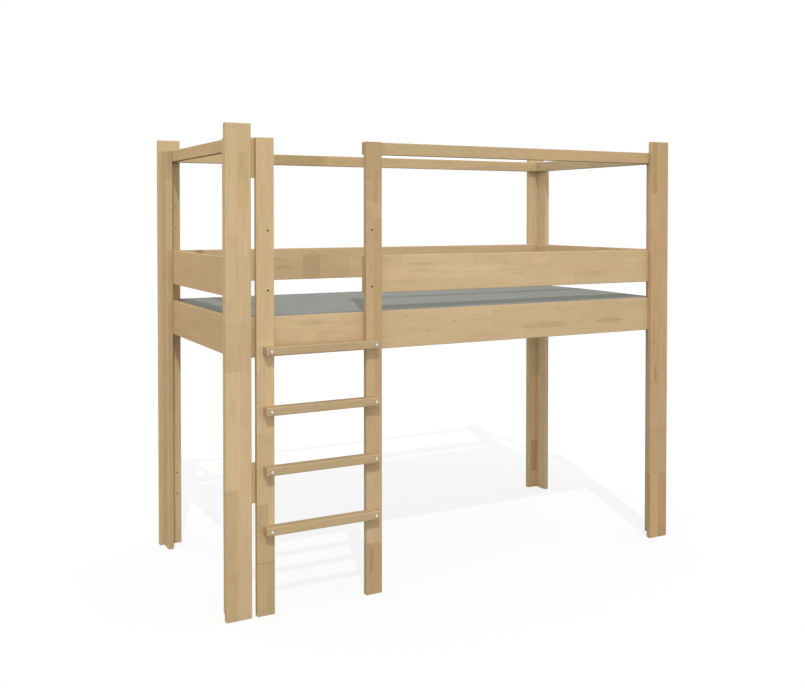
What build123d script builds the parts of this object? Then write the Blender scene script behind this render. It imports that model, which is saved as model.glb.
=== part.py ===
"""Half-height play bed: corner posts, rails, guards, top bars, a straight ladder and a mattress.

The frame is in millimetres, with +X to the right along the bed, +Y to the back and +Z up. The origin
lies on the floor, under the middle of the whole bed with its rungs.
"""

import os
from collections import defaultdict

from build123d import *

# Mattress
mattress_length = 2000
mattress_width = 900
mattress_thick = 100
mattress_crown = 4
mattress_corner = 30
mattress_edge = 8
mattress_end_gap = 3
mattress_side_gap = 1

# Boards, posts and heights above the floor
board = 25
edge_round = 3
frame_height = 1800
post_rise = 50
face_width = 100
web_overhang = 20
web_depth = 75
rail_top = 1125
rail_height = 150
guard_gap = 75
guard_height = 150
bar_height = 50
join_height = 150
low_join_centre = 500

# Ladder
post_gap = 20
stile_width = 70
stile_clear = 384
inner_end_inset = 4
rung_height = 32
rung_depth = 40
rung_round = 4
rung_inset = 25
rung_hole_inset = 45
first_rung_centre = 327
rung_pitch = 225
rung_count = 4
spare_rung_count = 2

# Bolts and threaded inserts
bolt_radius = 3
rung_bolt_radius = 4
bolt_gap = 0.1
bolt_bite = 16
bolt_end_gap = 2
head_radius = 7.5
head_height = 3.5
head_recess = 8
head_gap = 0.5
plug_length = 4
plug_gap = 0.1
rung_head_height = 4.5
head_rim = 1
head_flat = 3.2
socket_width = 5
socket_depth = 2
insert_radius = 6
insert_length = 15
insert_gap = 0.05
insert_chamfer = 0.6
pocket_end_gap = 3
bolt_pitch = 96
bolt_clear = 10
stile_bolt_inset = 20
spare_rise = 450
low_spare_centre = 277

# Post dowels
dowel_radius = 4
dowel_length = 30
dowel_gap = 0.1
dowel_chamfer = 0.8
dowel_end_gap = 1
dowel_margin = 100
dowel_count = 6

# Slatted base
ledger_height = 32
ledger_depth = 25
ledger_inset = 22
ledger_round = 2
notch_radius = 10
slat_width = 75
slat_thick = 20
slat_round = 3
slat_end_gap = 2
slat_count = 14
screw_radius = 2
screw_head_radius = 4
screw_cone = 3
screw_gap = 0.05
slat_screw_length = 45
ledger_screw_length = 43
ledger_screw_margin = 120
ledger_screw_count = 6
cross_width = 0.8
cross_length = 4
cross_depth = 1.2

# Shared by all cuts, and by the search for edges on a plane
cut_over = 1
same_place = 0.001

# Lengths and widths that follow from these
end_board_inner = web_overhang + 2 * board
bed_length = mattress_length + 2 * (mattress_end_gap + end_board_inner)
bed_width = mattress_width + 2 * (mattress_side_gap + 2 * board)
front_reach = rung_depth + rung_head_height
y_middle = front_reach / 2

# Heights that follow from these
post_height = frame_height + post_rise
rail_bottom = rail_top - rail_height
rail_centre = rail_top - rail_height / 2
guard_bottom = rail_top + guard_gap
bar_bottom = frame_height - bar_height
high_join_centre = frame_height - join_height / 2
ledger_top = rail_bottom + ledger_height
slat_top = ledger_top + slat_thick

# Places along the bed, measured from the outer edge of the left posts
left_stile = face_width + post_gap
right_stile = left_stile + stile_width + stile_clear
post_bolt = end_board_inner + bolt_clear
left_stile_bolt = left_stile + stile_bolt_inset
right_stile_bolt = right_stile + stile_width - stile_bolt_inset
rung_start = left_stile + rung_inset
rung_end = right_stile + stile_width - rung_inset
rung_holes = (left_stile + rung_hole_inset, right_stile + stile_width - rung_hole_inset)
web_bolt = board + (board + web_depth) / 2

ENDS = {"left": -1, "right": 1}
SIDES = {"front": -1, "back": 1}
RIGHTWARD = Vector(1, 0, 0)
BACKWARD = Vector(0, 1, 0)
DOWNWARD = Vector(0, 0, -1)

solids = {}
cuts = defaultdict(list)
groups = defaultdict(list)


def x_from_left(distance):
    return distance - bed_length / 2


def x_from(end, distance):
    return ENDS[end] * (bed_length / 2 - distance)


def y_from(side, distance):
    return y_middle + SIDES[side] * (bed_width / 2 - distance)


def pair_about(centre, pitch):
    return (centre - pitch / 2, centre + pitch / 2)


def block(x_span, y_span, z_span, rounding, sharp=()):
    """A board with rounded edges. Edges that lie on a plane named in sharp, such as ("x", 5), stay sharp."""
    spans = [sorted(span) for span in (x_span, y_span, z_span)]
    middle = [sum(span) / 2 for span in spans]
    size = [high - low for low, high in spans]
    solid = Pos(*middle) * Box(*size)
    kept = []
    for edge in solid.edges():
        box = edge.bounding_box()
        on_sharp_plane = False
        for axis, place in sharp:
            low = getattr(box.min, axis.upper())
            high = getattr(box.max, axis.upper())
            if abs(low - place) < same_place and abs(high - place) < same_place:
                on_sharp_plane = True
        if not on_sharp_plane:
            kept.append(edge)
    return fillet(kept, rounding)


def rod(start, direction, radius, length):
    base = Plane(origin=start, z_dir=direction)
    return base * Cylinder(radius, length, align=(Align.CENTER, Align.CENTER, Align.MIN))


def placed(shape, start, direction):
    return Plane(origin=start, z_dir=direction) * shape


def domed_bolt(length, shank_radius, dome_height):
    """A bolt whose head sits on z = 0 and whose shank runs up +Z, with a hexagon socket in its dome."""
    rim = (head_radius, -head_rim)
    top = -dome_height
    with BuildPart() as bolt:
        with BuildSketch(Plane.XZ):
            with BuildLine():
                Polyline((head_flat, top), (0, top), (0, length), (shank_radius, length))
                Polyline((shank_radius, length), (shank_radius, 0), (head_radius, 0), rim)
                TangentArc((head_flat, top), rim, tangent=(1, 0))
            make_face()
        revolve(axis=Axis.Z)
    socket = Pos(0, 0, -dome_height - cut_over) * extrude(
        RegularPolygon(socket_width / 2, 6, major_radius=False), socket_depth + cut_over
    )
    return bolt.part - socket


def threaded_insert(shank_radius):
    """A sleeve that lies flush with z = 0 and reaches up +Z into the wood."""
    sleeve = rod((0, 0, 0), (0, 0, 1), insert_radius, insert_length)
    sleeve = chamfer(sleeve.edges().group_by(Axis.Z)[-1], insert_chamfer)
    return sleeve - rod((0, 0, -cut_over), (0, 0, 1), shank_radius + bolt_gap, insert_length + 2 * cut_over)


def board_plug():
    """A wooden plug that closes a bolt's recess, with its face on z = 0 and its body up +Z."""
    return rod((0, 0, 0), (0, 0, 1), head_radius + head_gap - plug_gap, plug_length)


def wood_screw(length):
    """A countersunk screw with its flat head on z = 0 and its tip up +Z, with a cross recess."""
    with BuildPart() as screw:
        with BuildSketch(Plane.XZ):
            Polygon(
                (0, 0),
                (screw_head_radius, 0),
                (screw_radius, screw_cone),
                (screw_radius, length - screw_cone),
                (0, length),
                align=None,
            )
        revolve(axis=Axis.Z)
    cross = Box(cross_length, cross_width, 2 * cross_depth) + Box(cross_width, cross_length, 2 * cross_depth)
    return screw.part - cross


def screw_cutter(length):
    """The hole that a countersunk screw fills, with its small gap all round."""
    cone = Cone(
        screw_head_radius + screw_gap,
        screw_radius + screw_gap,
        screw_cone,
        align=(Align.CENTER, Align.CENTER, Align.MIN),
    )
    mouth = rod((0, 0, -cut_over), (0, 0, 1), screw_head_radius + screw_gap, cut_over)
    return mouth + cone + rod((0, 0, 0), (0, 0, 1), screw_radius + screw_gap, length + screw_gap)


board_bolt = domed_bolt(board - head_recess + bolt_bite, bolt_radius, head_height)
rung_bolt = domed_bolt(rung_depth + board - bolt_end_gap, rung_bolt_radius, rung_head_height)
board_insert = threaded_insert(bolt_radius)
rung_insert = threaded_insert(rung_bolt_radius)
plug = board_plug()


def seat_insert(node, mouth, inward, group):
    """Set a threaded insert flush in a board's face. The mouth lies on the face and inward points into it."""
    pocket_length = insert_length + pocket_end_gap + cut_over
    cuts[node].append(rod(mouth - inward * cut_over, inward, insert_radius + insert_gap, pocket_length))
    groups[group].append(placed(board_insert, mouth, inward))


def fasten(node, carrier, meeting, outward, bolt_group, insert_group):
    """Bolt a board from its inner face into an insert in what carries it, with a plug over the head."""
    inner_face = meeting - outward * board
    start = inner_face - outward * cut_over
    cuts[node].append(rod(start, outward, head_radius + head_gap, head_recess + cut_over))
    cuts[node].append(rod(start, outward, bolt_radius + bolt_gap, board + 2 * cut_over))
    seat_insert(carrier, meeting, outward, insert_group)
    groups[bolt_group].append(placed(board_bolt, inner_face + outward * head_recess, outward))
    groups["bolt_plugs"].append(placed(plug, inner_face, outward))


def make_posts():
    """Each corner post is a face board with a web board set square behind it."""
    for side in SIDES:
        for end in ENDS:
            corner = f"{side}_{end}"
            face = f"post_face_{corner}"
            web = f"post_web_{corner}"
            x_face = (x_from(end, 0), x_from(end, face_width))
            y_face = (y_from(side, 0), y_from(side, board))
            solids[face] = block(x_face, y_face, (0, post_height), edge_round)
            x_web = (x_from(end, web_overhang), x_from(end, web_overhang + board))
            y_web = (y_from(side, board), y_from(side, board + web_depth))
            seam = y_from(side, board)
            solids[web] = block(x_web, y_web, (0, frame_height), edge_round, [("y", seam)])
            dowel_posts(side, end, face, web)
            if end == "left":
                seat_spare_inserts(side, end, face)


def seat_spare_inserts(side, end, face):
    """Two pairs of inserts on a post's inner face, for boards at other heights."""
    for centre in (low_spare_centre, rail_centre + spare_rise):
        for z in pair_about(centre, bolt_pitch):
            mouth = Vector(x_from(end, post_bolt), y_from(side, board), z)
            seat_insert(face, mouth, BACKWARD * SIDES[side], "post_inserts")


def dowel_posts(side, end, face, web):
    """Glue dowels across the seam between a face board and its web."""
    outward = BACKWARD * SIDES[side]
    pin = rod((0, 0, 0), (0, 0, 1), dowel_radius, dowel_length)
    pin = chamfer(pin.edges(), dowel_chamfer)
    step = (frame_height - 2 * dowel_margin) / (dowel_count - 1)
    x = x_from(end, web_overhang + board / 2)
    for index in range(dowel_count):
        seam = Vector(x, y_from(side, board), dowel_margin + index * step)
        start = seam - outward * (dowel_length / 2)
        hole_start = start - outward * dowel_end_gap
        hole = rod(hole_start, outward, dowel_radius + dowel_gap, dowel_length + 2 * dowel_end_gap)
        cuts[face].append(hole)
        cuts[web].append(hole)
        groups["post_dowels"].append(placed(pin, start, outward))


def bolt_heights(bottom, height):
    """A wide board has two bolts at each end, and a narrow bar has one."""
    centre = bottom + height / 2
    if height > bolt_pitch:
        return pair_about(centre, bolt_pitch)
    return (centre,)


LEVELS = {
    "rail": (rail_bottom, rail_height),
    "guard": (guard_bottom, guard_height),
    "top_bar": (bar_bottom, bar_height),
}


def make_long_boards():
    """Boards along the front and the back, behind the posts' faces and between the webs."""
    near_web = web_overhang + board
    for level, (bottom, height) in LEVELS.items():
        for side in SIDES:
            node = f"{level}_{side}"
            short = side == "front" and level != "rail"
            ends_sharp = [("x", x_from("right", near_web))]
            start = x_from_left(right_stile + inner_end_inset)
            if not short:
                start = x_from("left", near_web)
                ends_sharp.append(("x", start))
            y_span = (y_from(side, board), y_from(side, 2 * board))
            x_span = (start, x_from("right", near_web))
            solids[node] = block(x_span, y_span, (bottom, bottom + height), edge_round, ends_sharp)
            outward = BACKWARD * SIDES[side]
            meeting_y = y_from(side, board)
            carriers = [(f"post_face_{side}_right", x_from("right", post_bolt), "post_inserts")]
            if not short:
                carriers.append((f"post_face_{side}_left", x_from("left", post_bolt), "post_inserts"))
            if side == "front":
                carriers.append(("stile_right", x_from_left(right_stile_bolt), "stile_inserts"))
            if side == "front" and not short:
                carriers.append(("stile_left", x_from_left(left_stile_bolt), "stile_inserts"))
            for carrier, x, insert_group in carriers:
                for z in bolt_heights(bottom, height):
                    fasten(node, carrier, Vector(x, meeting_y, z), outward, f"{level}_bolts", insert_group)


def make_end_boards():
    """Boards across the two ends, inside the webs and between the long boards."""
    for level, (bottom, height) in LEVELS.items():
        for end in ENDS:
            node = f"{level}_{end}"
            x_span = (x_from(end, web_overhang + board), x_from(end, end_board_inner))
            y_span = (y_from("front", 2 * board), y_from("back", 2 * board))
            butts = [("y", y) for y in y_span]
            solids[node] = block(x_span, y_span, (bottom, bottom + height), edge_round, butts)
            outward = RIGHTWARD * ENDS[end]
            for side in SIDES:
                for z in bolt_heights(bottom, height):
                    meeting = Vector(x_from(end, web_overhang + board), y_from(side, web_bolt), z)
                    fasten(node, f"post_web_{side}_{end}", meeting, outward, f"{level}_bolts", "post_inserts")


def make_joining_boards():
    """Two short boards that tie the left stile to the front left post."""
    x_span = (x_from("left", web_overhang + board), x_from_left(left_stile + stile_width - inner_end_inset))
    y_span = (y_from("front", board), y_from("front", 2 * board))
    for name, centre in (("low", low_join_centre), ("high", high_join_centre)):
        node = f"joining_board_{name}"
        z_span = pair_about(centre, join_height)
        solids[node] = block(x_span, y_span, z_span, edge_round, [("x", x_span[0])])
        for z in bolt_heights(z_span[0], join_height):
            places = (
                ("post_face_front_left", x_from("left", post_bolt), "post_inserts"),
                ("stile_left", x_from_left(left_stile_bolt), "stile_inserts"),
            )
            for carrier, x, insert_group in places:
                meeting = Vector(x, y_from("front", board), z)
                fasten(node, carrier, meeting, -BACKWARD, "joining_bolts", insert_group)


def make_ladder():
    """Two stiles on the floor, with rungs bolted across their fronts."""
    y_span = (y_from("front", 0), y_from("front", board))
    for name, start in (("left", left_stile), ("right", right_stile)):
        x_span = (x_from_left(start), x_from_left(start + stile_width))
        solids[f"stile_{name}"] = block(x_span, y_span, (0, frame_height), edge_round)
    rung_front = y_from("front", -rung_depth)
    for index in range(rung_count + spare_rung_count):
        z = first_rung_centre + index * rung_pitch
        is_rung = index < rung_count
        node = f"rung_{index + 1}"
        if is_rung:
            x_span = (x_from_left(rung_start), x_from_left(rung_end))
            z_span = pair_about(z, rung_height)
            solids[node] = block(x_span, (rung_front, y_span[0]), z_span, rung_round, [("y", y_span[0])])
        for name, distance in zip(("left", "right"), rung_holes):
            x = x_from_left(distance)
            start = Vector(x, rung_front - cut_over, z)
            hole = rod(start, BACKWARD, rung_bolt_radius + bolt_gap, rung_depth + board + cut_over)
            cuts[f"stile_{name}"].append(hole)
            back = Vector(x, y_span[1], z)
            pocket_mouth = back + BACKWARD * cut_over
            pocket = rod(pocket_mouth, -BACKWARD, insert_radius + insert_gap, insert_length + cut_over)
            cuts[f"stile_{name}"].append(pocket)
            groups["stile_inserts"].append(placed(rung_insert, back, -BACKWARD))
            if is_rung:
                cuts[node].append(hole)
                groups["rung_bolts"].append(placed(rung_bolt, Vector(x, rung_front, z), BACKWARD))


def make_base():
    """Ledger strips along the long rails, with slats screwed across them."""
    x_span = (x_from("left", end_board_inner + ledger_inset), x_from("right", end_board_inner + ledger_inset))
    notch_places = {
        "front": (x_from_left(left_stile_bolt), x_from_left(right_stile_bolt)),
        "back": (),
    }
    screw = wood_screw(ledger_screw_length)
    screw_hole = screw_cutter(ledger_screw_length)
    screw_step = (x_span[1] - x_span[0] - 2 * ledger_screw_margin) / (ledger_screw_count - 1)
    low_bolt = bolt_heights(rail_bottom, rail_height)[0]
    for side in SIDES:
        node = f"ledger_{side}"
        outward = BACKWARD * SIDES[side]
        y_span = (y_from(side, 2 * board), y_from(side, 2 * board + ledger_depth))
        butt = [("y", y_span[0])]
        solids[node] = block(x_span, y_span, (rail_bottom, ledger_top), ledger_round, butt)
        for x in notch_places[side]:
            start = Vector(x, y_span[1], low_bolt) - outward * cut_over
            cuts[node].append(rod(start, outward, notch_radius, ledger_depth + 2 * cut_over))
        for index in range(ledger_screw_count):
            x = x_span[0] + ledger_screw_margin + index * screw_step
            head = Vector(x, y_span[1], rail_bottom + ledger_height / 2)
            cuts[node].append(placed(screw_hole, head, outward))
            cuts[f"rail_{side}"].append(placed(screw_hole, head, outward))
            groups["ledger_screws"].append(placed(screw, head, outward))
    make_slats(x_span)


def make_slats(x_span):
    y_ends = (y_from("front", 2 * board + slat_end_gap), y_from("back", 2 * board + slat_end_gap))
    step = (x_span[1] - x_span[0] - slat_width) / (slat_count - 1)
    screw = wood_screw(slat_screw_length)
    screw_hole = screw_cutter(slat_screw_length)
    for index in range(slat_count):
        node = f"slat_{index + 1:02d}"
        start = x_span[0] + index * step
        solids[node] = block((start, start + slat_width), y_ends, (ledger_top, slat_top), slat_round)
        for side in SIDES:
            y = y_from(side, 2 * board + ledger_depth / 2)
            head = Vector(start + slat_width / 2, y, slat_top)
            cutter = placed(screw_hole, head, DOWNWARD)
            cuts[node].append(cutter)
            cuts[f"ledger_{side}"].append(cutter)
            groups["slat_screws"].append(placed(screw, head, DOWNWARD))


def make_mattress():
    """A loose foam mattress, level with the rails and slightly crowned across its width."""
    edge_top = slat_top + mattress_thick
    crown_top = edge_top + mattress_crown
    slab_height = crown_top - slat_top
    slab = Pos(0, y_middle, slat_top + slab_height / 2) * Box(mattress_length, mattress_width, slab_height)
    slab = fillet(slab.edges().filter_by(Axis.Z), mattress_corner)
    roll_radius = ((mattress_width / 2) ** 2 + mattress_crown**2) / (2 * mattress_crown)
    roll = Rot(0, 90, 0) * Cylinder(roll_radius, 2 * mattress_length)
    slab = slab & Pos(0, y_middle, crown_top - roll_radius) * roll
    faces = slab.faces().sort_by(Axis.Z)
    solids["mattress"] = fillet(faces[0].edges() + faces[-1].edges(), mattress_edge)


def build():
    make_posts()
    make_ladder()
    make_long_boards()
    make_end_boards()
    make_joining_boards()
    make_base()
    make_mattress()
    for node, cutters in cuts.items():
        solids[node] = solids[node] - cutters
    for node, members in groups.items():
        solids[node] = Compound(children=members)


build()
os.makedirs("parts", exist_ok=True)
for node, solid in solids.items():
    solid.label = node
    export_step(solid, f"parts/{node}.step")
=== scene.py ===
"""Looks of the half-height play bed: glued beech boards, zinc fittings, plain slats and a grey mattress."""

import math

import bpy
import numpy as np
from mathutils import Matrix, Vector


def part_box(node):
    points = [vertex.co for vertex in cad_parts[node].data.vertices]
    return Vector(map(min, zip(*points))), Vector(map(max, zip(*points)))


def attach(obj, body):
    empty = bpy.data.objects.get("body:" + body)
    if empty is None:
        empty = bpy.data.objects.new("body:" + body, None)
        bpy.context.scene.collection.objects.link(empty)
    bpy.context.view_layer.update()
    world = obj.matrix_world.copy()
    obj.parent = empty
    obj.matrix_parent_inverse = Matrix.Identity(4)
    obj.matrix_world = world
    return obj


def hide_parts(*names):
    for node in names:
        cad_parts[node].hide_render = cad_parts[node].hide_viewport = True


# Camera, in metres and degrees
CAMERA_PLACE = (-2.18967, -3.96303, 1.50827)
CAMERA_YAW = 28.0311
CAMERA_PITCH = 1.2357
CAMERA_LENS = 43.9534
CAMERA_SHIFT = (-0.00067, -0.13317)
SENSOR_WIDTH = 36
NEAR_CLIP = 0.05
FAR_CLIP = 200

# Light
SUN_TRAVEL = (0.216, 0.6156, -0.758)
SUN_STRENGTH = 1.25
SUN_ANGLE = 0.6
SKY_LEVEL = 0.65
SKY_RING = 1.7
SKY_RING_POWER = 6
FLOOR_SIZE = 60
FLOOR_GLOW = 0.8
FLOOR_PALE = 0.21
FLOOR_BOUNCE = 0.36

# Wood, each kind as a plain, a pink and an olive tone: colours are linear, lengths in metres
BEECH = ((0.61, 0.443, 0.246), (0.625, 0.442, 0.262), (0.595, 0.438, 0.225))
TIMBER = ((0.66, 0.52, 0.34), (0.67, 0.51, 0.35), (0.63, 0.52, 0.33))
PLAIN_SHARE = 0.65
STAVE_ROW = 0.045
STAVE_LENGTH = 0.33
WHOLE_BOARD = 9.0
ROW_SPARE = 1.0001
ROW_SHIFT = 7.31
SEED_SHIFT = 13.7
STAVE_SHIFT = (9.0, 3.0, 0.37)
GLUE_LINE = 0.0025
ROW_LINE = (0.49, 0.5)
ROW_LINE_SHARE = 0.6
WOOD_ROUGH = (0.52, 0.66)
END_ROUGH = 0.2
WORN_POLISH = 0.06
WOOD_GLOSS = 0.03
WOOD_BUMP = (0.0004, 0.5)
# Painted shade in bores and recesses: points deeper inside a board than these depths are darkened
BORE_START = 0.0012
BORE_END = 0.006
BORE_SHADE = 0.12
EDGE_REACH = 0.004
FACING = (0.6, 0.85)

# Noises in the wood: waves per metre along, across and through the board, detail and roughness
CLOUD = ((2.2, 22, 22),)
STREAK = ((9, 120, 120), 3)
FIBRE = ((26, 900, 900), 2, 0.6)
FLECK = ((190, 1500, 1500), 1)
FLECK_SPAN = (0.6, 0.72)
GROWTH = ((0.9, 15, 15), 1)
GROWTH_RINGS = 130
PATCH = ((6, 48, 48), 1)
PATCH_SPAN = (0.6, 0.68)
PORES = ((300, 1100, 1100), 2, 0.7)
ARCS = ((4, 90, 420),)
WEAR = ((14, 60, 60),)
WANDER = ((14, 130, 130),)
NOISE_SPAN = (0.3, 0.7)
FIBRE_SPAN = (0.2, 0.8)

# How far each feature tints the wood, and how high it stands
CHANCE_TINT = (0.98, 1.02)
CLOUD_TINT = (0.965, 1.035)
STREAK_TINT = (0.975, 1.025)
RING_TINT = (0.99, 1.01)
FIBRE_TINT = (0.975, 1.025)
FLECK_TINT = 0.92
PATCH_TINT = 0.94
LINE_TINT = 0.92
WORN_TINT = 1.05
PORE_TINT = (0.86, 0.98)
ARC_TINT = (0.93, 1.05)
FIBRE_HEIGHT = 0.4
RING_HEIGHT = 0.05
FLECK_HEIGHT = -0.12
LINE_HEIGHT = -0.5

# Boards whose wood is lighter, darker, redder or greener than the rest; for the back right posts and the
# joining boards the lighter colour is painted light
TONES_AND_PAINTED_LIGHT = {
    "guard_front": (1.05, 1.05, 1.1),
    "guard_back": (1.02, 1.03, 1.05),
    "guard_left": (0.99, 0.94, 0.89),
    "guard_right": (1.08, 1.08, 1.08),
    "rail_front": (1.02, 1.03, 1.07),
    "rail_left": (0.965, 0.915, 0.87),
    "post_face_front_left": (1.03, 1.03, 1.04),
    "post_face_front_right": (0.89, 0.84, 0.8),
    "post_face_back_left": (1.0, 1.05, 1.08),
    "post_web_back_left": (0.945, 0.94, 0.945),
    # Painted light: the back right posts are made lighter, standing in for light that the bed shades off
    # them
    "post_face_back_right": (1.05, 1.1, 1.2),
    "post_web_back_right": (1.05, 1.1, 1.2),
    "stile_left": (1.06, 1.05, 1.05),
    "stile_right": (0.93, 0.91, 0.91),
    "rung_1": (0.92, 0.925, 0.96),
    "rung_": (0.88, 0.89, 0.92),
    "top_bar_left": (0.98, 0.94, 0.89),
    "top_bar_back": (0.91, 0.93, 0.88),
    "top_bar_front": (0.93, 0.93, 0.93),
    "top_bar_right": (0.88, 0.92, 0.99),
    # Painted light: the joining boards, deep in the gap between post and stile, are made lighter to undo
    # the shade there
    "joining_board": (1.18, 1.22, 1.3),
}

# Staves that stand out on their board, and patches of painted light and shade: two ends, two sides, and the
# tint against the board
STAVE_BLUR = 0.0015
STAVES_AND_PAINTED_LIGHT = {
    "post_face_front_left": (
        (1.44, 1.83, 0.0, 0.046, (1.05, 1.07, 1.09)),
        (1.533, 1.742, 0.046, 0.089, (0.93, 0.93, 0.85)),
        (0.93, 1.11, 0.0, 0.1, (0.955, 0.945, 0.95)),
        (0.49, 0.93, 0.0, 0.055, (1.06, 1.09, 1.13)),
        (0.0, 0.49, 0.0, 0.04, (0.92, 0.91, 0.91)),
        (0.0, 0.19, 0.0, 0.05, (0.965, 0.95, 0.92)),
    ),
    "stile_left": (
        (0.316, 0.424, 0.0, 0.045, (0.85, 0.84, 0.82)),
        (0.2, 0.316, 0.0, 0.07, (0.87, 0.86, 0.83)),
        (0.0, 0.2, 0.0, 0.07, (0.84, 0.84, 0.82)),
        (0.0, 0.2, 0.045, 0.07, (0.94, 0.94, 0.94)),
        (0.2, 0.203, 0.0, 0.07, (0.7, 0.66, 0.6)),
        (0.43, 0.69, 0.0, 0.07, (0.945, 0.955, 0.97)),
        (0.69, 0.8, 0.0, 0.035, (1.0, 1.05, 1.12)),
        (0.92, 1.04, 0.0, 0.07, (1.03, 1.06, 1.1)),
        # Painted light: the stile's shaded left side face is made lighter
        (0.0, 1.8, -0.002, 0.0006, (1.12, 1.17, 1.2)),
    ),
    "stile_right": (
        (1.56, 1.8, 0.0, 0.07, (0.94, 0.93, 0.88)),
        (1.55, 1.65, 0.03, 0.05, (0.92, 0.91, 0.86)),
        (1.0, 1.5, 0.032, 0.07, (0.92, 0.9, 0.86)),
        (1.65, 1.8, 0.0, 0.07, (0.93, 0.93, 0.94)),
        (1.4, 1.55, 0.0, 0.035, (0.95, 0.95, 0.95)),
        (0.8, 1.0, 0.035, 0.07, (0.94, 0.94, 0.91)),
        (0.5, 1.0, 0.052, 0.07, (1.02, 0.95, 0.97)),
        (0.21, 0.5, 0.0, 0.03, (1.04, 1.07, 1.09)),
        (0.21, 0.5, 0.0, 0.07, (1.02, 1.05, 1.08)),
        (0.0, 0.205, 0.0, 0.07, (0.91, 0.89, 0.86)),
    ),
    "post_face_front_right": (
        (1.613, 1.85, 0.004, 0.032, (0.85, 0.83, 0.8)),
        (0.64, 1.6, 0.0, 0.1, (1.02, 0.99, 0.99)),
        (1.613, 1.85, 0.0, 0.1, (0.96, 0.97, 0.94)),
        (0.72, 0.93, 0.0, 0.05, (0.93, 0.96, 0.93)),
        (0.3, 0.52, 0.0, 0.1, (0.955, 0.955, 0.945)),
        # Painted light: the post's shaded left side face is made lighter
        (0.3, 1.85, -0.002, 0.0006, (1.18, 1.25, 1.33)),
        (0.0, 0.3, 0.046, 0.1, (0.88, 0.85, 0.82)),
    ),
    "post_face_back_left": (
        # Painted shade: the inner flange is darker just under the left top bar
        (1.52, 1.75, 0.045, 0.1, (0.84, 0.86, 0.8)),
        (1.37, 1.52, 0.045, 0.1, (0.9, 0.94, 0.84)),
        # Painted light: the lower part of the inner flange is made lighter
        (0.0, 0.85, 0.045, 0.1, (1.1, 1.15, 1.13)),
    ),
    "post_face_back_right": (
        # Painted light: the lower part, under the bed, and its inner side are made lighter
        (0.0, 0.9, 0.0, 0.1, (1.13, 1.13, 1.1)),
        (0.0, 0.62, 0.025, 0.1, (1.08, 1.08, 1.08)),
        (0.09, 0.26, 0.018, 0.055, (0.8, 0.76, 0.7)),
    ),
    "post_web_back_right": (
        # Painted light: the lower part, under the bed, and most of all near the corner, is made lighter
        (0.0, 0.9, 0.0, 0.1, (1.15, 1.15, 1.12)),
        (0.0, 0.62, 0.03, 0.08, (1.1, 1.09, 1.09)),
    ),
    "guard_front": (
        (0.29, 0.72, 0.05, 0.1, (1.04, 1.05, 1.07)),
        (0.9, 1.53, 0.1, 0.15, (0.94, 0.94, 0.92)),
        (0.96, 1.53, 0.05, 0.1, (0.95, 0.94, 0.9)),
        (1.04, 1.53, 0.0, 0.05, (0.92, 0.96, 0.97)),
    ),
    "rail_front": (
        (0.0, 0.42, 0.1, 0.15, (1.05, 1.06, 1.06)),
        (1.58, 2.06, 0.1, 0.15, (0.955, 0.96, 0.95)),
        (1.7, 2.06, 0.05, 0.1, (0.945, 0.965, 0.97)),
        (1.3, 2.06, 0.0, 0.05, (0.955, 0.97, 0.96)),
    ),
    "guard_back": (
        (0.65, 0.74, 0.0, 0.12, (0.9, 0.87, 0.88)),
        (0.9, 1.1, 0.0, 0.13, (1.06, 1.04, 1.04)),
    ),
    "top_bar_front": (
        (0.0, 0.49, 0.0, 0.05, (0.93, 0.975, 0.94)),
        (0.49, 0.8, 0.0, 0.05, (0.96, 0.965, 0.97)),
        (0.8, 1.14, 0.0, 0.05, (1.0, 0.97, 0.94)),
        (1.14, 1.53, 0.0, 0.05, (0.96, 0.925, 0.905)),
    ),
    "top_bar_right": ((0.45, 1.1, 0.0, 0.05, (1.1, 1.09, 1.09)),),
    "top_bar_back": (
        (0.0, 0.3, 0.0, 0.05, (1.13, 1.16, 1.2)),
        (0.5, 0.75, 0.0, 0.05, (0.95, 0.92, 0.94)),
        (0.38, 0.78, 0.0, 0.05, (0.96, 0.99, 0.9)),
        (0.78, 0.96, 0.0, 0.05, (1.08, 1.06, 1.08)),
        (1.06, 2.1, 0.0, 0.05, (1.08, 1.07, 1.12)),
    ),
}

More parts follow.
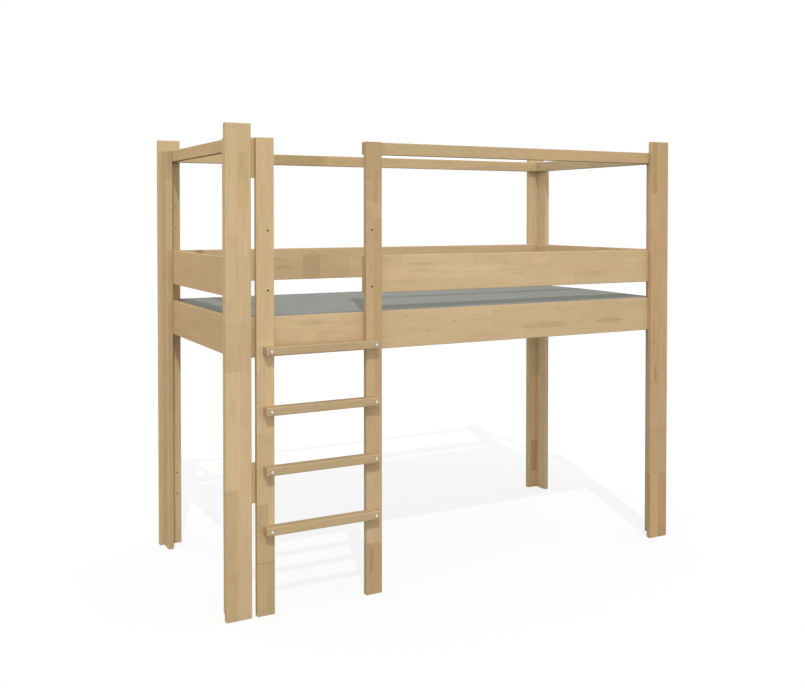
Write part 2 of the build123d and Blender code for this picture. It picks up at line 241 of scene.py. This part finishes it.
# Soft marks in the wood: middle along and across the board, half length, half width, and the tint
MARK_WANDER = (-0.3, 0.3)
MARK_EDGE = (0.6, 1.1)
MARKS = {
    "post_face_front_right": (
        (0.98, 0.018, 0.1, 0.005, (0.8, 0.76, 0.72)),
        (0.78, 0.027, 0.06, 0.004, (0.72, 0.66, 0.62)),
        (0.88, 0.04, 0.2, 0.005, (0.93, 0.88, 0.85)),
    ),
    "post_face_front_left": ((1.5, 0.043, 0.012, 0.004, (0.9, 0.88, 0.86)),),
    "stile_left": ((0.66, 0.052, 0.02, 0.003, (0.85, 0.8, 0.75)),),
    "stile_right": ((0.13, 0.022, 0.06, 0.012, (0.85, 0.8, 0.76)),),
    "guard_front": (
        (0.41, 0.093, 0.09, 0.022, (1.05, 1.07, 1.11)),
        (0.58, 0.09, 0.08, 0.022, (1.05, 1.07, 1.11)),
        (0.72, 0.1, 0.05, 0.025, (1.04, 1.05, 1.1)),
        (1.38, 0.088, 0.08, 0.028, (1.04, 1.06, 1.12)),
        (0.25, 0.112, 0.09, 0.004, (0.89, 0.87, 0.84)),
        (0.72, 0.06, 0.05, 0.004, (0.89, 0.87, 0.84)),
        (1.14, 0.05, 0.07, 0.014, (0.96, 0.91, 0.9)),
    ),
    "guard_back": (
        (0.55, 0.06, 0.05, 0.008, (0.88, 0.85, 0.83)),
        (0.5, 0.1, 0.06, 0.006, (0.92, 0.9, 0.88)),
    ),
    "rail_front": (
        (1.4, 0.055, 0.16, 0.014, (0.88, 0.88, 0.84)),
        (1.77, 0.058, 0.09, 0.014, (0.86, 0.86, 0.86)),
        (1.52, 0.12, 0.09, 0.02, (0.93, 0.95, 0.9)),
        (0.3, 0.118, 0.06, 0.012, (0.9, 0.89, 0.84)),
        (0.3, 0.07, 0.04, 0.02, (1.05, 1.05, 1.03)),
        (0.72, 0.126, 0.02, 0.005, (0.87, 0.86, 0.81)),
        (0.823, 0.063, 0.015, 0.005, (0.87, 0.86, 0.81)),
        (0.952, 0.094, 0.012, 0.005, (0.87, 0.86, 0.81)),
    ),
}

# Painted shade on the undersides of the top bars: faces that point down are darkened
PAINTED_SHADE_UNDERSIDE_START = "top_bar"
UNDERSIDE_PAINTED_SHADE = (0.46, 0.38, 0.25)

# Metal
BOLT_ZINC = (0.88, 0.83, 0.73)
BOLT_DULL = (0.72, 0.67, 0.58)
BOLT_RIM_PAINTED_SHADE = (0.32, 0.31, 0.29)
BOLT_ROUGH = (0.2, 0.34)
BOLT_CLOUD = 240
BOLT_GRAIN = 1440
BOLT_FACING = (0.7, 0.95)
INSERT_ZINC = (0.62, 0.6, 0.56)
INSERT_DULL = (0.5, 0.485, 0.45)
INSERT_BORE_PAINTED_SHADE = (0.03, 0.028, 0.025)
INSERT_ROUGH = (0.4, 0.55)
INSERT_CLOUD = 300
INSERT_FACING = (0.5, 0.8)
METAL_BUMP = (0.0001, 0.3)

# Wooden pieces that come in groups
GROUPS = ("bolt_plugs", "post_dowels")

# Mattress cover
COVER = (0.284, 0.306, 0.284)
COVER_ROUGH = (0.82, 0.95)
COVER_SHEEN = 0.12
COVER_SHEEN_ROUGH = 0.5
COVER_GLOSS = 0.2
COVER_BUMP = (0.0005, 0.35)
WEAVE_PITCH = 0.0022
SLUB_WARP = (12, 420, 60)
SLUB_WEFT = (420, 12, 60)
COVER_CLOUD = (3, 3, 3)
SLUB_SPAN = (0.6, 1.4)
SLUB_TINT = (0.88, 1.12)
WEAVE_TINT = (0.94, 1.06)
WEAVE_HEIGHT = 0.5
COVER_CLOUD_TINT = (0.97, 1.03)

# Mattress shape, in metres
PAD_CORNER = 0.03
PAD_EDGE = 0.008
PAD_CROWN = 0.004
PAD_WAIST = 0.0016
PAD_WAIST_POWER = 0.5
PAD_DIP = 0.0007
PAD_FADE_POWER = 4
PAD_TOP_POWER = 3
PAD_SEAM_DROP = 0.014
PAD_SEAM_DEPTH = 0.0012
PAD_SEAM_HALF = 0.002
PAD_EDGE_LINES = (0, 0.0015, 0.003, 0.005, 0.0075, 0.0105, 0.014, 0.018, 0.023, 0.03, 0.04)
PAD_RISE_LINES = (0, 0.0015, 0.003, 0.005, 0.008, 0.012, 0.013, 0.014, 0.015, 0.016, 0.02, 0.027, 0.037)
PAD_STEPS = (0.02, 0.02, 0.01)
TINY = 1e-9

# Unevenness of its top: radians per metre along x and y, and where each wave starts
PAD_WAVE = (10.1, 13.3)
PAD_WAVE_START = (0.7, 1.1)
PAD_RIPPLE = (19.7, 11.9)
PAD_RIPPLE_START = 2.1
PAD_RIPPLE_SHARE = 0.7

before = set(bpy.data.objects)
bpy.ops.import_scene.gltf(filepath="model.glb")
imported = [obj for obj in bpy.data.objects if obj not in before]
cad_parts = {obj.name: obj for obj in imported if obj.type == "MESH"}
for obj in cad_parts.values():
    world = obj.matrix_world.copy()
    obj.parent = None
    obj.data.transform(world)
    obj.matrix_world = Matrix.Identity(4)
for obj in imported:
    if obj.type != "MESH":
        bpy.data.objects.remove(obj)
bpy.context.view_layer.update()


class Graph:
    """Adds and links the nodes of one tree."""

    def __init__(self, tree):
        self.tree = tree
        tree.nodes.clear()

    def add(self, kind, inputs=(), **settings):
        node = self.tree.nodes.new(kind)
        for name, value in settings.items():
            setattr(node, name, value)
        for name, value in dict(inputs).items():
            self.feed(node.inputs[name], value)
        return node

    def feed(self, socket, value):
        if isinstance(value, bpy.types.NodeSocket):
            self.tree.links.new(value, socket)
        else:
            socket.default_value = value

    def math(self, operation, *values):
        node = self.tree.nodes.new("ShaderNodeMath")
        node.operation = operation
        for socket, value in zip(node.inputs, values):
            self.feed(socket, value)
        return node.outputs[0]

    def vector(self, operation, *values):
        node = self.tree.nodes.new("ShaderNodeVectorMath")
        node.operation = operation
        for socket, value in zip(node.inputs, values):
            self.feed(socket, value)
        return node.outputs[0]

    def remap(self, value, old, new, smooth=False):
        node = self.add("ShaderNodeMapRange", interpolation_type="SMOOTHSTEP" if smooth else "LINEAR")
        for socket, number in zip(node.inputs, (value, *old, *new)):
            self.feed(socket, number)
        return node.outputs[0]

    def mix(self, factor, first, second, blend="MIX"):
        node = self.add("ShaderNodeMix", data_type="RGBA", blend_type=blend)
        self.feed(node.inputs[0], factor)
        self.feed(node.inputs[6], first)
        self.feed(node.inputs[7], second)
        return node.outputs[2]

    def rise(self, value, start, end):
        """0 up to the start, 1 from the end on, and a smooth slope between them."""
        return self.remap(value, (start, end), (0, 1), smooth=True)

    def fall(self, value, start, end):
        """1 up to the start, 0 from the end on, and a smooth slope between them."""
        return self.remap(value, (start, end), (1, 0), smooth=True)

    def tinted(self, factor, colour, tint):
        return self.mix(factor, colour, rgba(tint), "MULTIPLY")

    def shaded(self, colour, tint):
        grey = self.add("ShaderNodeCombineColor", {"Red": tint, "Green": tint, "Blue": tint})
        return self.mix(1.0, colour, grey.outputs[0], "MULTIPLY")

    def split(self, vector):
        return self.add("ShaderNodeSeparateXYZ", {"Vector": vector}).outputs

    def noise(self, place, scale, detail=2.0, roughness=0.5):
        stretched = self.vector("MULTIPLY", place, scale)
        values = {"Vector": stretched, "Scale": 1.0, "Detail": detail, "Roughness": roughness}
        return self.add("ShaderNodeTexNoise", values).outputs[0]


def rgba(colour):
    return (*colour, 1)


def wood_group():
    """Shared pattern of glued staves, with painted shade in bores where Bore is set. Point runs along the
    grain, across the board and through it.
    """
    tree = bpy.data.node_groups.new("glued_wood", "ShaderNodeTree")
    g = Graph(tree)
    for name, kind in (
        ("Point", "NodeSocketVector"),
        ("End", "NodeSocketFloat"),
        ("Edge", "NodeSocketFloat"),
        ("Bore", "NodeSocketFloat"),
        ("Seed", "NodeSocketFloat"),
        ("Row", "NodeSocketFloat"),
        ("Length", "NodeSocketFloat"),
        ("Plain", "NodeSocketColor"),
        ("Pink", "NodeSocketColor"),
        ("Olive", "NodeSocketColor"),
    ):
        tree.interface.new_socket(name, in_out="INPUT", socket_type=kind)
    for name, kind in (
        ("Color", "NodeSocketColor"),
        ("Roughness", "NodeSocketFloat"),
        ("Height", "NodeSocketFloat"),
    ):
        tree.interface.new_socket(name, in_out="OUTPUT", socket_type=kind)
    given = g.add("NodeGroupInput").outputs
    axes = g.split(given["Point"])
    row_place = g.math("DIVIDE", axes[1], given["Row"])
    row = g.math("FLOOR", row_place)
    row_edge = g.math("ABSOLUTE", g.math("SUBTRACT", g.math("FRACT", row_place), 0.5))
    stave_place = g.math("DIVIDE", axes[0], given["Length"])
    stave_place = g.math("ADD", stave_place, g.math("MULTIPLY", row, ROW_SHIFT))
    stave_place = g.math("ADD", stave_place, g.math("MULTIPLY", given["Seed"], SEED_SHIFT))
    pattern = {"W": stave_place, "Scale": 1.0}
    stave = g.add("ShaderNodeTexVoronoi", pattern, voronoi_dimensions="1D").outputs["Color"]
    joint = g.add("ShaderNodeTexVoronoi", pattern, voronoi_dimensions="1D", feature="DISTANCE_TO_EDGE")
    chance = g.add("ShaderNodeSeparateColor", {"Color": stave}).outputs
    shift = g.add("ShaderNodeCombineXYZ", {"X": chance[2], "Y": chance[0], "Z": given["Seed"]}).outputs[0]
    place = g.vector("ADD", given["Point"], g.vector("MULTIPLY", shift, STAVE_SHIFT))
    cloud = g.noise(place, *CLOUD)
    streak = g.noise(place, *STREAK)
    fibre = g.noise(place, *FIBRE)
    fleck = g.rise(g.noise(place, *FLECK), *FLECK_SPAN)
    ring = g.math("SINE", g.math("MULTIPLY", g.noise(place, *GROWTH), GROWTH_RINGS))
    patch = g.rise(g.noise(place, *PATCH), *PATCH_SPAN)
    row_line = g.math("MULTIPLY", g.rise(row_edge, *ROW_LINE), ROW_LINE_SHARE)
    line = g.math("MAXIMUM", row_line, g.fall(joint.outputs["Distance"], 0.0, GLUE_LINE))
    pores = g.remap(g.noise(place, *PORES), NOISE_SPAN, PORE_TINT)
    arcs = g.remap(g.noise(place, *ARCS), NOISE_SPAN, ARC_TINT)
    wear = g.remap(g.noise(place, *WEAR), (0.35, 0.65), (0.2, 1))
    worn = g.math("MULTIPLY", given["Edge"], wear)
    tint = 1.0
    for value, old, new in (
        (chance[0], (0, 1), CHANCE_TINT),
        (cloud, (0.25, 0.75), CLOUD_TINT),
        (streak, (0.25, 0.75), STREAK_TINT),
        (ring, (-1, 1), RING_TINT),
        (fibre, FIBRE_SPAN, FIBRE_TINT),
        (fleck, (0, 1), (1, FLECK_TINT)),
        (patch, (0, 1), (1, PATCH_TINT)),
        (line, (0, 1), (1, LINE_TINT)),
        (given["End"], (0, 1), (1, g.math("MULTIPLY", pores, arcs))),
        (worn, (0, 1), (1, WORN_TINT)),
        # Painted shade: points deep in bores and recesses are darkened
        (given["Bore"], (0, 1), (1, BORE_SHADE)),
    ):
        tint = g.math("MULTIPLY", tint, g.remap(value, old, new))
    colour = g.mix(chance[1], given["Pink"], given["Olive"])
    colour = g.shaded(g.mix(PLAIN_SHARE, colour, given["Plain"]), tint)
    rough = g.remap(fibre, FIBRE_SPAN, WOOD_ROUGH)
    rough = g.math("ADD", rough, g.math("MULTIPLY", given["End"], END_ROUGH))
    rough = g.math("SUBTRACT", rough, g.math("MULTIPLY", worn, WORN_POLISH))
    height = g.math("MULTIPLY", fibre, FIBRE_HEIGHT)
    for value, share in ((ring, RING_HEIGHT), (fleck, FLECK_HEIGHT), (line, LINE_HEIGHT)):
        height = g.math("ADD", height, g.math("MULTIPLY", value, share))
    g.add("NodeGroupOutput", {"Color": colour, "Roughness": rough, "Height": height})
    return tree


def new_material(name):
    material = bpy.data.materials.new(name)
    material.use_nodes = True
    return material, Graph(material.node_tree)


def place_and_faces(g):
    """A piece's own coordinates, and the three parts of its normal."""
    given = g.add("ShaderNodeTexCoord").outputs
    return given["Object"], g.split(given["Normal"])


def finish_shader(g, colour, rough, constants, height, bump):
    """A surface of one colour and roughness, with bumps of the given height."""
    depth, strength = bump
    raised = g.add("ShaderNodeBump", {"Height": height, "Distance": depth, "Strength": strength})
    values = {"Base Color": colour, "Roughness": rough, "Normal": raised.outputs[0], **constants}
    shader = g.add("ShaderNodeBsdfPrincipled", values)
    g.add("ShaderNodeOutputMaterial", {"Surface": shader.outputs[0]})


def depth_and_edge(g, place, size):
    """How deep a point lies inside a board, and how far it is from the board's nearest edge."""
    gaps = []
    for axis, length in zip(g.split(place), size):
        gaps.append(g.math("MINIMUM", axis, g.math("SUBTRACT", float(length), axis)))
    least = g.math("MINIMUM", g.math("MINIMUM", gaps[0], gaps[1]), gaps[2])
    most = g.math("MAXIMUM", g.math("MAXIMUM", gaps[0], gaps[1]), gaps[2])
    total = g.math("ADD", g.math("ADD", gaps[0], gaps[1]), gaps[2])
    return least, g.math("SUBTRACT", g.math("SUBTRACT", total, least), most)


def board_tints(g, node, point, colour):
    """Lay a board's own staves and marks, and its patches of painted light and shade, over its colour."""
    axes = g.split(point)
    for start, stop, low, high, tint in STAVES_AND_PAINTED_LIGHT.get(node, ()):
        masks = []
        for axis, first, last in ((axes[0], start, stop), (axes[1], low, high)):
            gap = g.math("ABSOLUTE", g.math("SUBTRACT", axis, (first + last) / 2))
            half = (last - first) / 2
            masks.append(g.fall(gap, half - STAVE_BLUR, half + STAVE_BLUR))
        colour = g.tinted(g.math("MULTIPLY", *masks), colour, tint)
    marks = MARKS.get(node, ())
    if marks:
        wander = g.remap(g.noise(point, *WANDER), NOISE_SPAN, MARK_WANDER)
    for along, across, long, wide, tint in marks:
        x = g.math("DIVIDE", g.math("SUBTRACT", axes[0], along), long)
        y = g.math("DIVIDE", g.math("SUBTRACT", axes[1], across), wide)
        far = g.math("SQRT", g.math("ADD", g.math("MULTIPLY", x, x), g.math("MULTIPLY", y, y)))
        colour = g.tinted(g.fall(g.math("ADD", far, wander), *MARK_EDGE), colour, tint)
    return colour


def wood_material(node, seed, group, tones, row, length, shade):
    """Glued wood for one board, with its grain along the board's longest side."""
    low, high = (np.array(corner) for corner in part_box(node))
    size = high - low
    along, across, through = np.argsort(-size, kind="stable")
    material, g = new_material(f"wood_{node}")
    place, faces = place_and_faces(g)
    place = g.vector("SUBTRACT", place, tuple(float(v) for v in low))
    axes = g.split(place)
    sides = {"X": axes[int(along)], "Y": axes[int(across)], "Z": axes[int(through)]}
    point = g.add("ShaderNodeCombineXYZ", sides).outputs[0]
    edge_share = bore_painted_shade = 0.0
    if node not in GROUPS:
        depth, edge = depth_and_edge(g, place, size)
        edge_share = g.fall(edge, 0, EDGE_REACH)
        bore_painted_shade = g.rise(depth, BORE_START, BORE_END)
    rows = max(1, round(float(size[across]) / row))
    values = {
        "Point": point,
        "End": g.rise(g.math("ABSOLUTE", faces[int(along)]), *FACING),
        "Edge": edge_share,
        "Bore": bore_painted_shade,
        "Seed": float(seed),
        "Row": float(size[across]) / rows * ROW_SPARE,
        "Length": length,
    }
    for name, tone in zip(("Plain", "Pink", "Olive"), tones):
        values[name] = rgba(np.array(tone) * shade)
    wood = g.add("ShaderNodeGroup", node_tree=group)
    for name, value in values.items():
        g.feed(wood.inputs[name], value)
    colour = board_tints(g, node, point, wood.outputs["Color"])
    # Painted shade: the top bars' downward faces are darkened
    if node.startswith(PAINTED_SHADE_UNDERSIDE_START):
        painted_underside_shade = g.rise(g.math("MULTIPLY", faces[2], -1.0), *FACING)
        colour = g.tinted(painted_underside_shade, colour, UNDERSIDE_PAINTED_SHADE)
    gloss = {"Specular IOR Level": WOOD_GLOSS}
    finish_shader(g, colour, wood.outputs["Roughness"], gloss, wood.outputs["Height"], WOOD_BUMP)
    return material


def plating(g, place, bright, dull, scale):
    """Cloudy zinc plating: the noise behind it, and its colour."""
    cloud = g.noise(place, (scale,) * 3, 3)
    return cloud, g.mix(g.remap(cloud, NOISE_SPAN, (0, 1)), rgba(bright), rgba(dull))


def bolt_material():
    """Zinc-plated bolts and screws, with painted shade where a head slopes down to its rim."""
    material, g = new_material("bright_zinc")
    place, faces = place_and_faces(g)
    level = [g.math("ABSOLUTE", face) for face in faces]
    most = g.math("MAXIMUM", g.math("MAXIMUM", level[0], level[1]), level[2])
    cloud, plated = plating(g, place, BOLT_ZINC, BOLT_DULL, BOLT_CLOUD)
    # Painted shade: sloping faces, such as the rims of domed heads, take the dark rim colour
    colour = g.mix(g.rise(most, *BOLT_FACING), rgba(BOLT_RIM_PAINTED_SHADE), plated)
    rough = g.remap(cloud, NOISE_SPAN, BOLT_ROUGH)
    grain = g.noise(place, (BOLT_GRAIN,) * 3)
    finish_shader(g, colour, rough, {"Metallic": 1.0}, grain, METAL_BUMP)
    return material


def insert_material():
    """Zinc-plated inserts: a bright ring at the mouth, and painted shade, near black, on the other faces
    for the threaded bore.
    """
    material, g = new_material("insert_zinc")
    place, faces = place_and_faces(g)
    ring = g.rise(g.math("ABSOLUTE", faces[1]), *INSERT_FACING)
    cloud, plated = plating(g, place, INSERT_ZINC, INSERT_DULL, INSERT_CLOUD)
    # Painted shade: faces that don't point along y, inside the bore, are near black
    colour = g.mix(ring, rgba(INSERT_BORE_PAINTED_SHADE), plated)
    rough = g.remap(cloud, NOISE_SPAN, INSERT_ROUGH)
    finish_shader(g, colour, rough, {"Metallic": 1.0}, cloud, METAL_BUMP)
    return material


def cover_material():
    """Plain grey woven cover."""
    material, g = new_material("grey_cover")
    place = g.add("ShaderNodeTexCoord").outputs["Object"]
    axes = g.split(place)
    turn = 2 * math.pi / WEAVE_PITCH
    warp = g.math("SINE", g.math("MULTIPLY", axes[0], turn))
    weft = g.math("SINE", g.math("MULTIPLY", g.math("ADD", axes[1], axes[2]), turn))
    weave = g.math("MULTIPLY", warp, weft)
    slub = g.math("ADD", g.noise(place, SLUB_WARP), g.noise(place, SLUB_WEFT))
    cloud = g.noise(place, COVER_CLOUD)
    tint = g.remap(slub, SLUB_SPAN, SLUB_TINT)
    tint = g.math("MULTIPLY", tint, g.remap(weave, (-1, 1), WEAVE_TINT))
    tint = g.math("MULTIPLY", tint, g.remap(cloud, NOISE_SPAN, COVER_CLOUD_TINT))
    rough = g.remap(slub, SLUB_SPAN, COVER_ROUGH)
    cloth = {
        "Sheen Weight": COVER_SHEEN,
        "Sheen Roughness": COVER_SHEEN_ROUGH,
        "Specular IOR Level": COVER_GLOSS,
    }
    height = g.math("ADD", g.math("MULTIPLY", weave, WEAVE_HEIGHT), slub)
    finish_shader(g, g.shaded(rgba(COVER), tint), rough, cloth, height, COVER_BUMP)
    return material


def grid_lines(low, high, fine, step):
    """Places along one side of the mattress, close together near its ends."""
    count = round((high - low - 2 * fine[-1]) / step)
    inner = np.linspace(low + fine[-1], high - fine[-1], count + 1)[1:-1]
    return np.concatenate([low + np.array(fine), inner, high - np.array(fine[::-1])])


def box_surface(lines):
    """Vertices and faces of a closed box that has a grid on each of its six sides."""
    index, places, faces = {}, [], []
    for axis in range(3):
        first, second = (axis + 1) % 3, (axis + 2) % 3
        for end in (0, len(lines[axis]) - 1):
            for a in range(len(lines[first]) - 1):
                for b in range(len(lines[second]) - 1):
                    corners = []
                    for step_a, step_b in ((0, 0), (1, 0), (1, 1), (0, 1)):
                        key = [end, end, end]
                        key[first], key[second] = a + step_a, b + step_b
                        key = tuple(key)
                        if key not in index:
                            index[key] = len(places)
                            places.append([lines[side][place] for side, place in enumerate(key)])
                        corners.append(index[key])
                    faces.append(corners if end else corners[::-1])
    return np.array(places), faces


def soften(places, low, high):
    """Turn the box into a soft slab: round corners and edges, sewn sides, a waist and a crown."""
    middle = (low + high) / 2
    half = (high - low) / 2
    top_edge = high[2] - PAD_CROWN
    offset = places[:, :2] - middle[:2]
    core = np.clip(offset, -(half[:2] - PAD_CORNER), half[:2] - PAD_CORNER)
    reach = offset - core
    square = np.abs(reach).max(axis=1)
    length = np.maximum(np.hypot(reach[:, 0], reach[:, 1]), TINY)
    outward = reach / length[:, None]
    inset = PAD_CORNER - square
    rise = np.minimum(places[:, 2] - low[2], top_edge - places[:, 2])
    flat = np.maximum(PAD_EDGE - inset, 0)
    tall = np.maximum(PAD_EDGE - rise, 0)
    shrink = np.maximum(flat, tall) / np.maximum(np.hypot(flat, tall), TINY)
    out = square - flat + flat * shrink
    lift = np.where(places[:, 2] > middle[2], 1, -1) * (tall - tall * shrink)
    side = np.clip(1 - inset / PAD_EDGE, 0, 1)
    along = np.clip(1 - (np.abs(core) / (half[:2] - PAD_CORNER)) ** PAD_FADE_POWER, 0, 1).max(axis=1)
    waist = PAD_WAIST * along * np.clip(rise / (half[2] - PAD_CROWN / 2), 0, 1) ** PAD_WAIST_POWER
    seam = PAD_SEAM_DEPTH * np.clip(1 - np.abs(rise - PAD_SEAM_DROP) / PAD_SEAM_HALF, 0, 1)
    out = out - side * (waist + seam)
    soft = places.copy()
    soft[:, :2] = middle[:2] + core + outward * out[:, None]
    x, y = (soft[:, :2] - middle[:2]).T
    wave = np.sin(x * PAD_WAVE[0] + PAD_WAVE_START[0]) * np.cos(y * PAD_WAVE[1] + PAD_WAVE_START[1])
    ripple = np.sin(x * PAD_RIPPLE[0] + y * PAD_RIPPLE[1] + PAD_RIPPLE_START)
    wave = (wave + PAD_RIPPLE_SHARE * ripple) / (1 + PAD_RIPPLE_SHARE)
    across = y / half[1]
    crown = PAD_CROWN * (1 - across**2) - PAD_DIP * (1 + wave) * (1 - across**PAD_FADE_POWER)
    share = np.clip((places[:, 2] - low[2]) / (top_edge - low[2]), 0, 1) ** PAD_TOP_POWER
    soft[:, 2] += lift + share * np.maximum(crown, 0)
    return soft


def add_mattress():
    low, high = (np.array(corner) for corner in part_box("mattress"))
    top_edge = high[2] - PAD_CROWN
    lines = [
        grid_lines(low[0], high[0], PAD_EDGE_LINES, PAD_STEPS[0]),
        grid_lines(low[1], high[1], PAD_EDGE_LINES, PAD_STEPS[1]),
        grid_lines(low[2], top_edge, PAD_RISE_LINES, PAD_STEPS[2]),
    ]
    places, faces = box_surface(lines)
    mesh = bpy.data.meshes.new("mattress_pad")
    mesh.from_pydata(soften(places, low, high).tolist(), [], faces)
    mesh.polygons.foreach_set("use_smooth", [True] * len(faces))
    mesh.materials.append(cover_material())
    pad = bpy.data.objects.new("mattress_pad", mesh)
    bpy.context.collection.objects.link(pad)
    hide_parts("mattress")
    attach(pad, "mattress")


def assign(node, material):
    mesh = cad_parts[node].data
    mesh.materials.clear()
    mesh.materials.append(material)


def shade_of(node):
    for start, shade in TONES_AND_PAINTED_LIGHT.items():
        if node.startswith(start):
            return shade
    return 1, 1, 1


def dress_frame():
    group = wood_group()
    bolts = bolt_material()
    inserts = insert_material()
    for seed, node in enumerate(sorted(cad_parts), start=1):
        if node.endswith(("_screws", "_bolts")):
            assign(node, bolts)
        elif node.endswith("_inserts"):
            assign(node, inserts)
        elif node.startswith(("slat_", "ledger_")):
            assign(node, wood_material(node, seed, group, TIMBER, WHOLE_BOARD, WHOLE_BOARD, (1, 1, 1)))
        elif node != "mattress":
            row = WHOLE_BOARD if node in GROUPS else STAVE_ROW
            assign(node, wood_material(node, seed, group, BEECH, row, STAVE_LENGTH, shade_of(node)))


def add_camera():
    data = bpy.data.cameras.new("camera")
    camera = bpy.data.objects.new("camera", data)
    bpy.context.collection.objects.link(camera)
    camera.location = CAMERA_PLACE
    camera.rotation_euler = (math.radians(90 - CAMERA_PITCH), 0, math.radians(-CAMERA_YAW))
    data.sensor_fit = "HORIZONTAL"
    data.sensor_width = SENSOR_WIDTH
    data.lens = CAMERA_LENS
    data.shift_x, data.shift_y = CAMERA_SHIFT
    data.clip_start = NEAR_CLIP
    data.clip_end = FAR_CLIP
    bpy.context.scene.camera = camera


def seen_directly(g):
    """1 for rays from the camera, and for those that a mirror or glass passes on."""
    path = g.add("ShaderNodeLightPath").outputs
    seen = g.math("MAXIMUM", path["Is Camera Ray"], path["Is Glossy Ray"])
    return g.math("MAXIMUM", seen, path["Is Transmission Ray"])


def add_light():
    data = bpy.data.lights.new("sun", "SUN")
    data.energy = SUN_STRENGTH
    data.angle = math.radians(SUN_ANGLE)
    sun = bpy.data.objects.new("sun", data)
    bpy.context.collection.objects.link(sun)
    sun.rotation_euler = Vector(SUN_TRAVEL).to_track_quat("-Z", "Y").to_euler()
    world = bpy.data.worlds.new("studio")
    world.use_nodes = True
    bpy.context.scene.world = world
    g = Graph(world.node_tree)
    direction = g.add("ShaderNodeTexCoord").outputs["Generated"]
    low = g.math("SUBTRACT", 1.0, g.math("ABSOLUTE", g.split(direction)[2]))
    ring = g.math("MULTIPLY", g.math("POWER", low, SKY_RING_POWER), SKY_RING)
    sky = g.math("ADD", ring, SKY_LEVEL)
    strength = g.remap(seen_directly(g), (0, 1), (sky, 1.0))
    background = g.add("ShaderNodeBackground", {"Color": (1, 1, 1, 1), "Strength": strength})
    g.add("ShaderNodeOutputWorld", {"Surface": background.outputs[0]})


def add_floor():
    bpy.ops.mesh.primitive_plane_add(size=FLOOR_SIZE)
    floor = bpy.context.object
    floor.name = "floor"
    material, g = new_material("pale_floor")
    pale = g.add("ShaderNodeBsdfDiffuse", {"Color": rgba((FLOOR_PALE,) * 3)})
    glow = g.add("ShaderNodeEmission", {"Color": (1, 1, 1, 1), "Strength": FLOOR_GLOW})
    shown = g.add("ShaderNodeAddShader")
    g.feed(shown.inputs[0], pale.outputs[0])
    g.feed(shown.inputs[1], glow.outputs[0])
    bounce = g.add("ShaderNodeBsdfDiffuse", {"Color": rgba((FLOOR_BOUNCE,) * 3)})
    either = g.add("ShaderNodeMixShader", {"Fac": seen_directly(g)})
    g.feed(either.inputs[1], bounce.outputs[0])
    g.feed(either.inputs[2], shown.outputs[0])
    g.add("ShaderNodeOutputMaterial", {"Surface": either.outputs[0]})
    floor.data.materials.append(material)


add_camera()
add_light()
add_floor()
dress_frame()
add_mattress()
bpy.context.scene.view_settings.view_transform = "Standard"
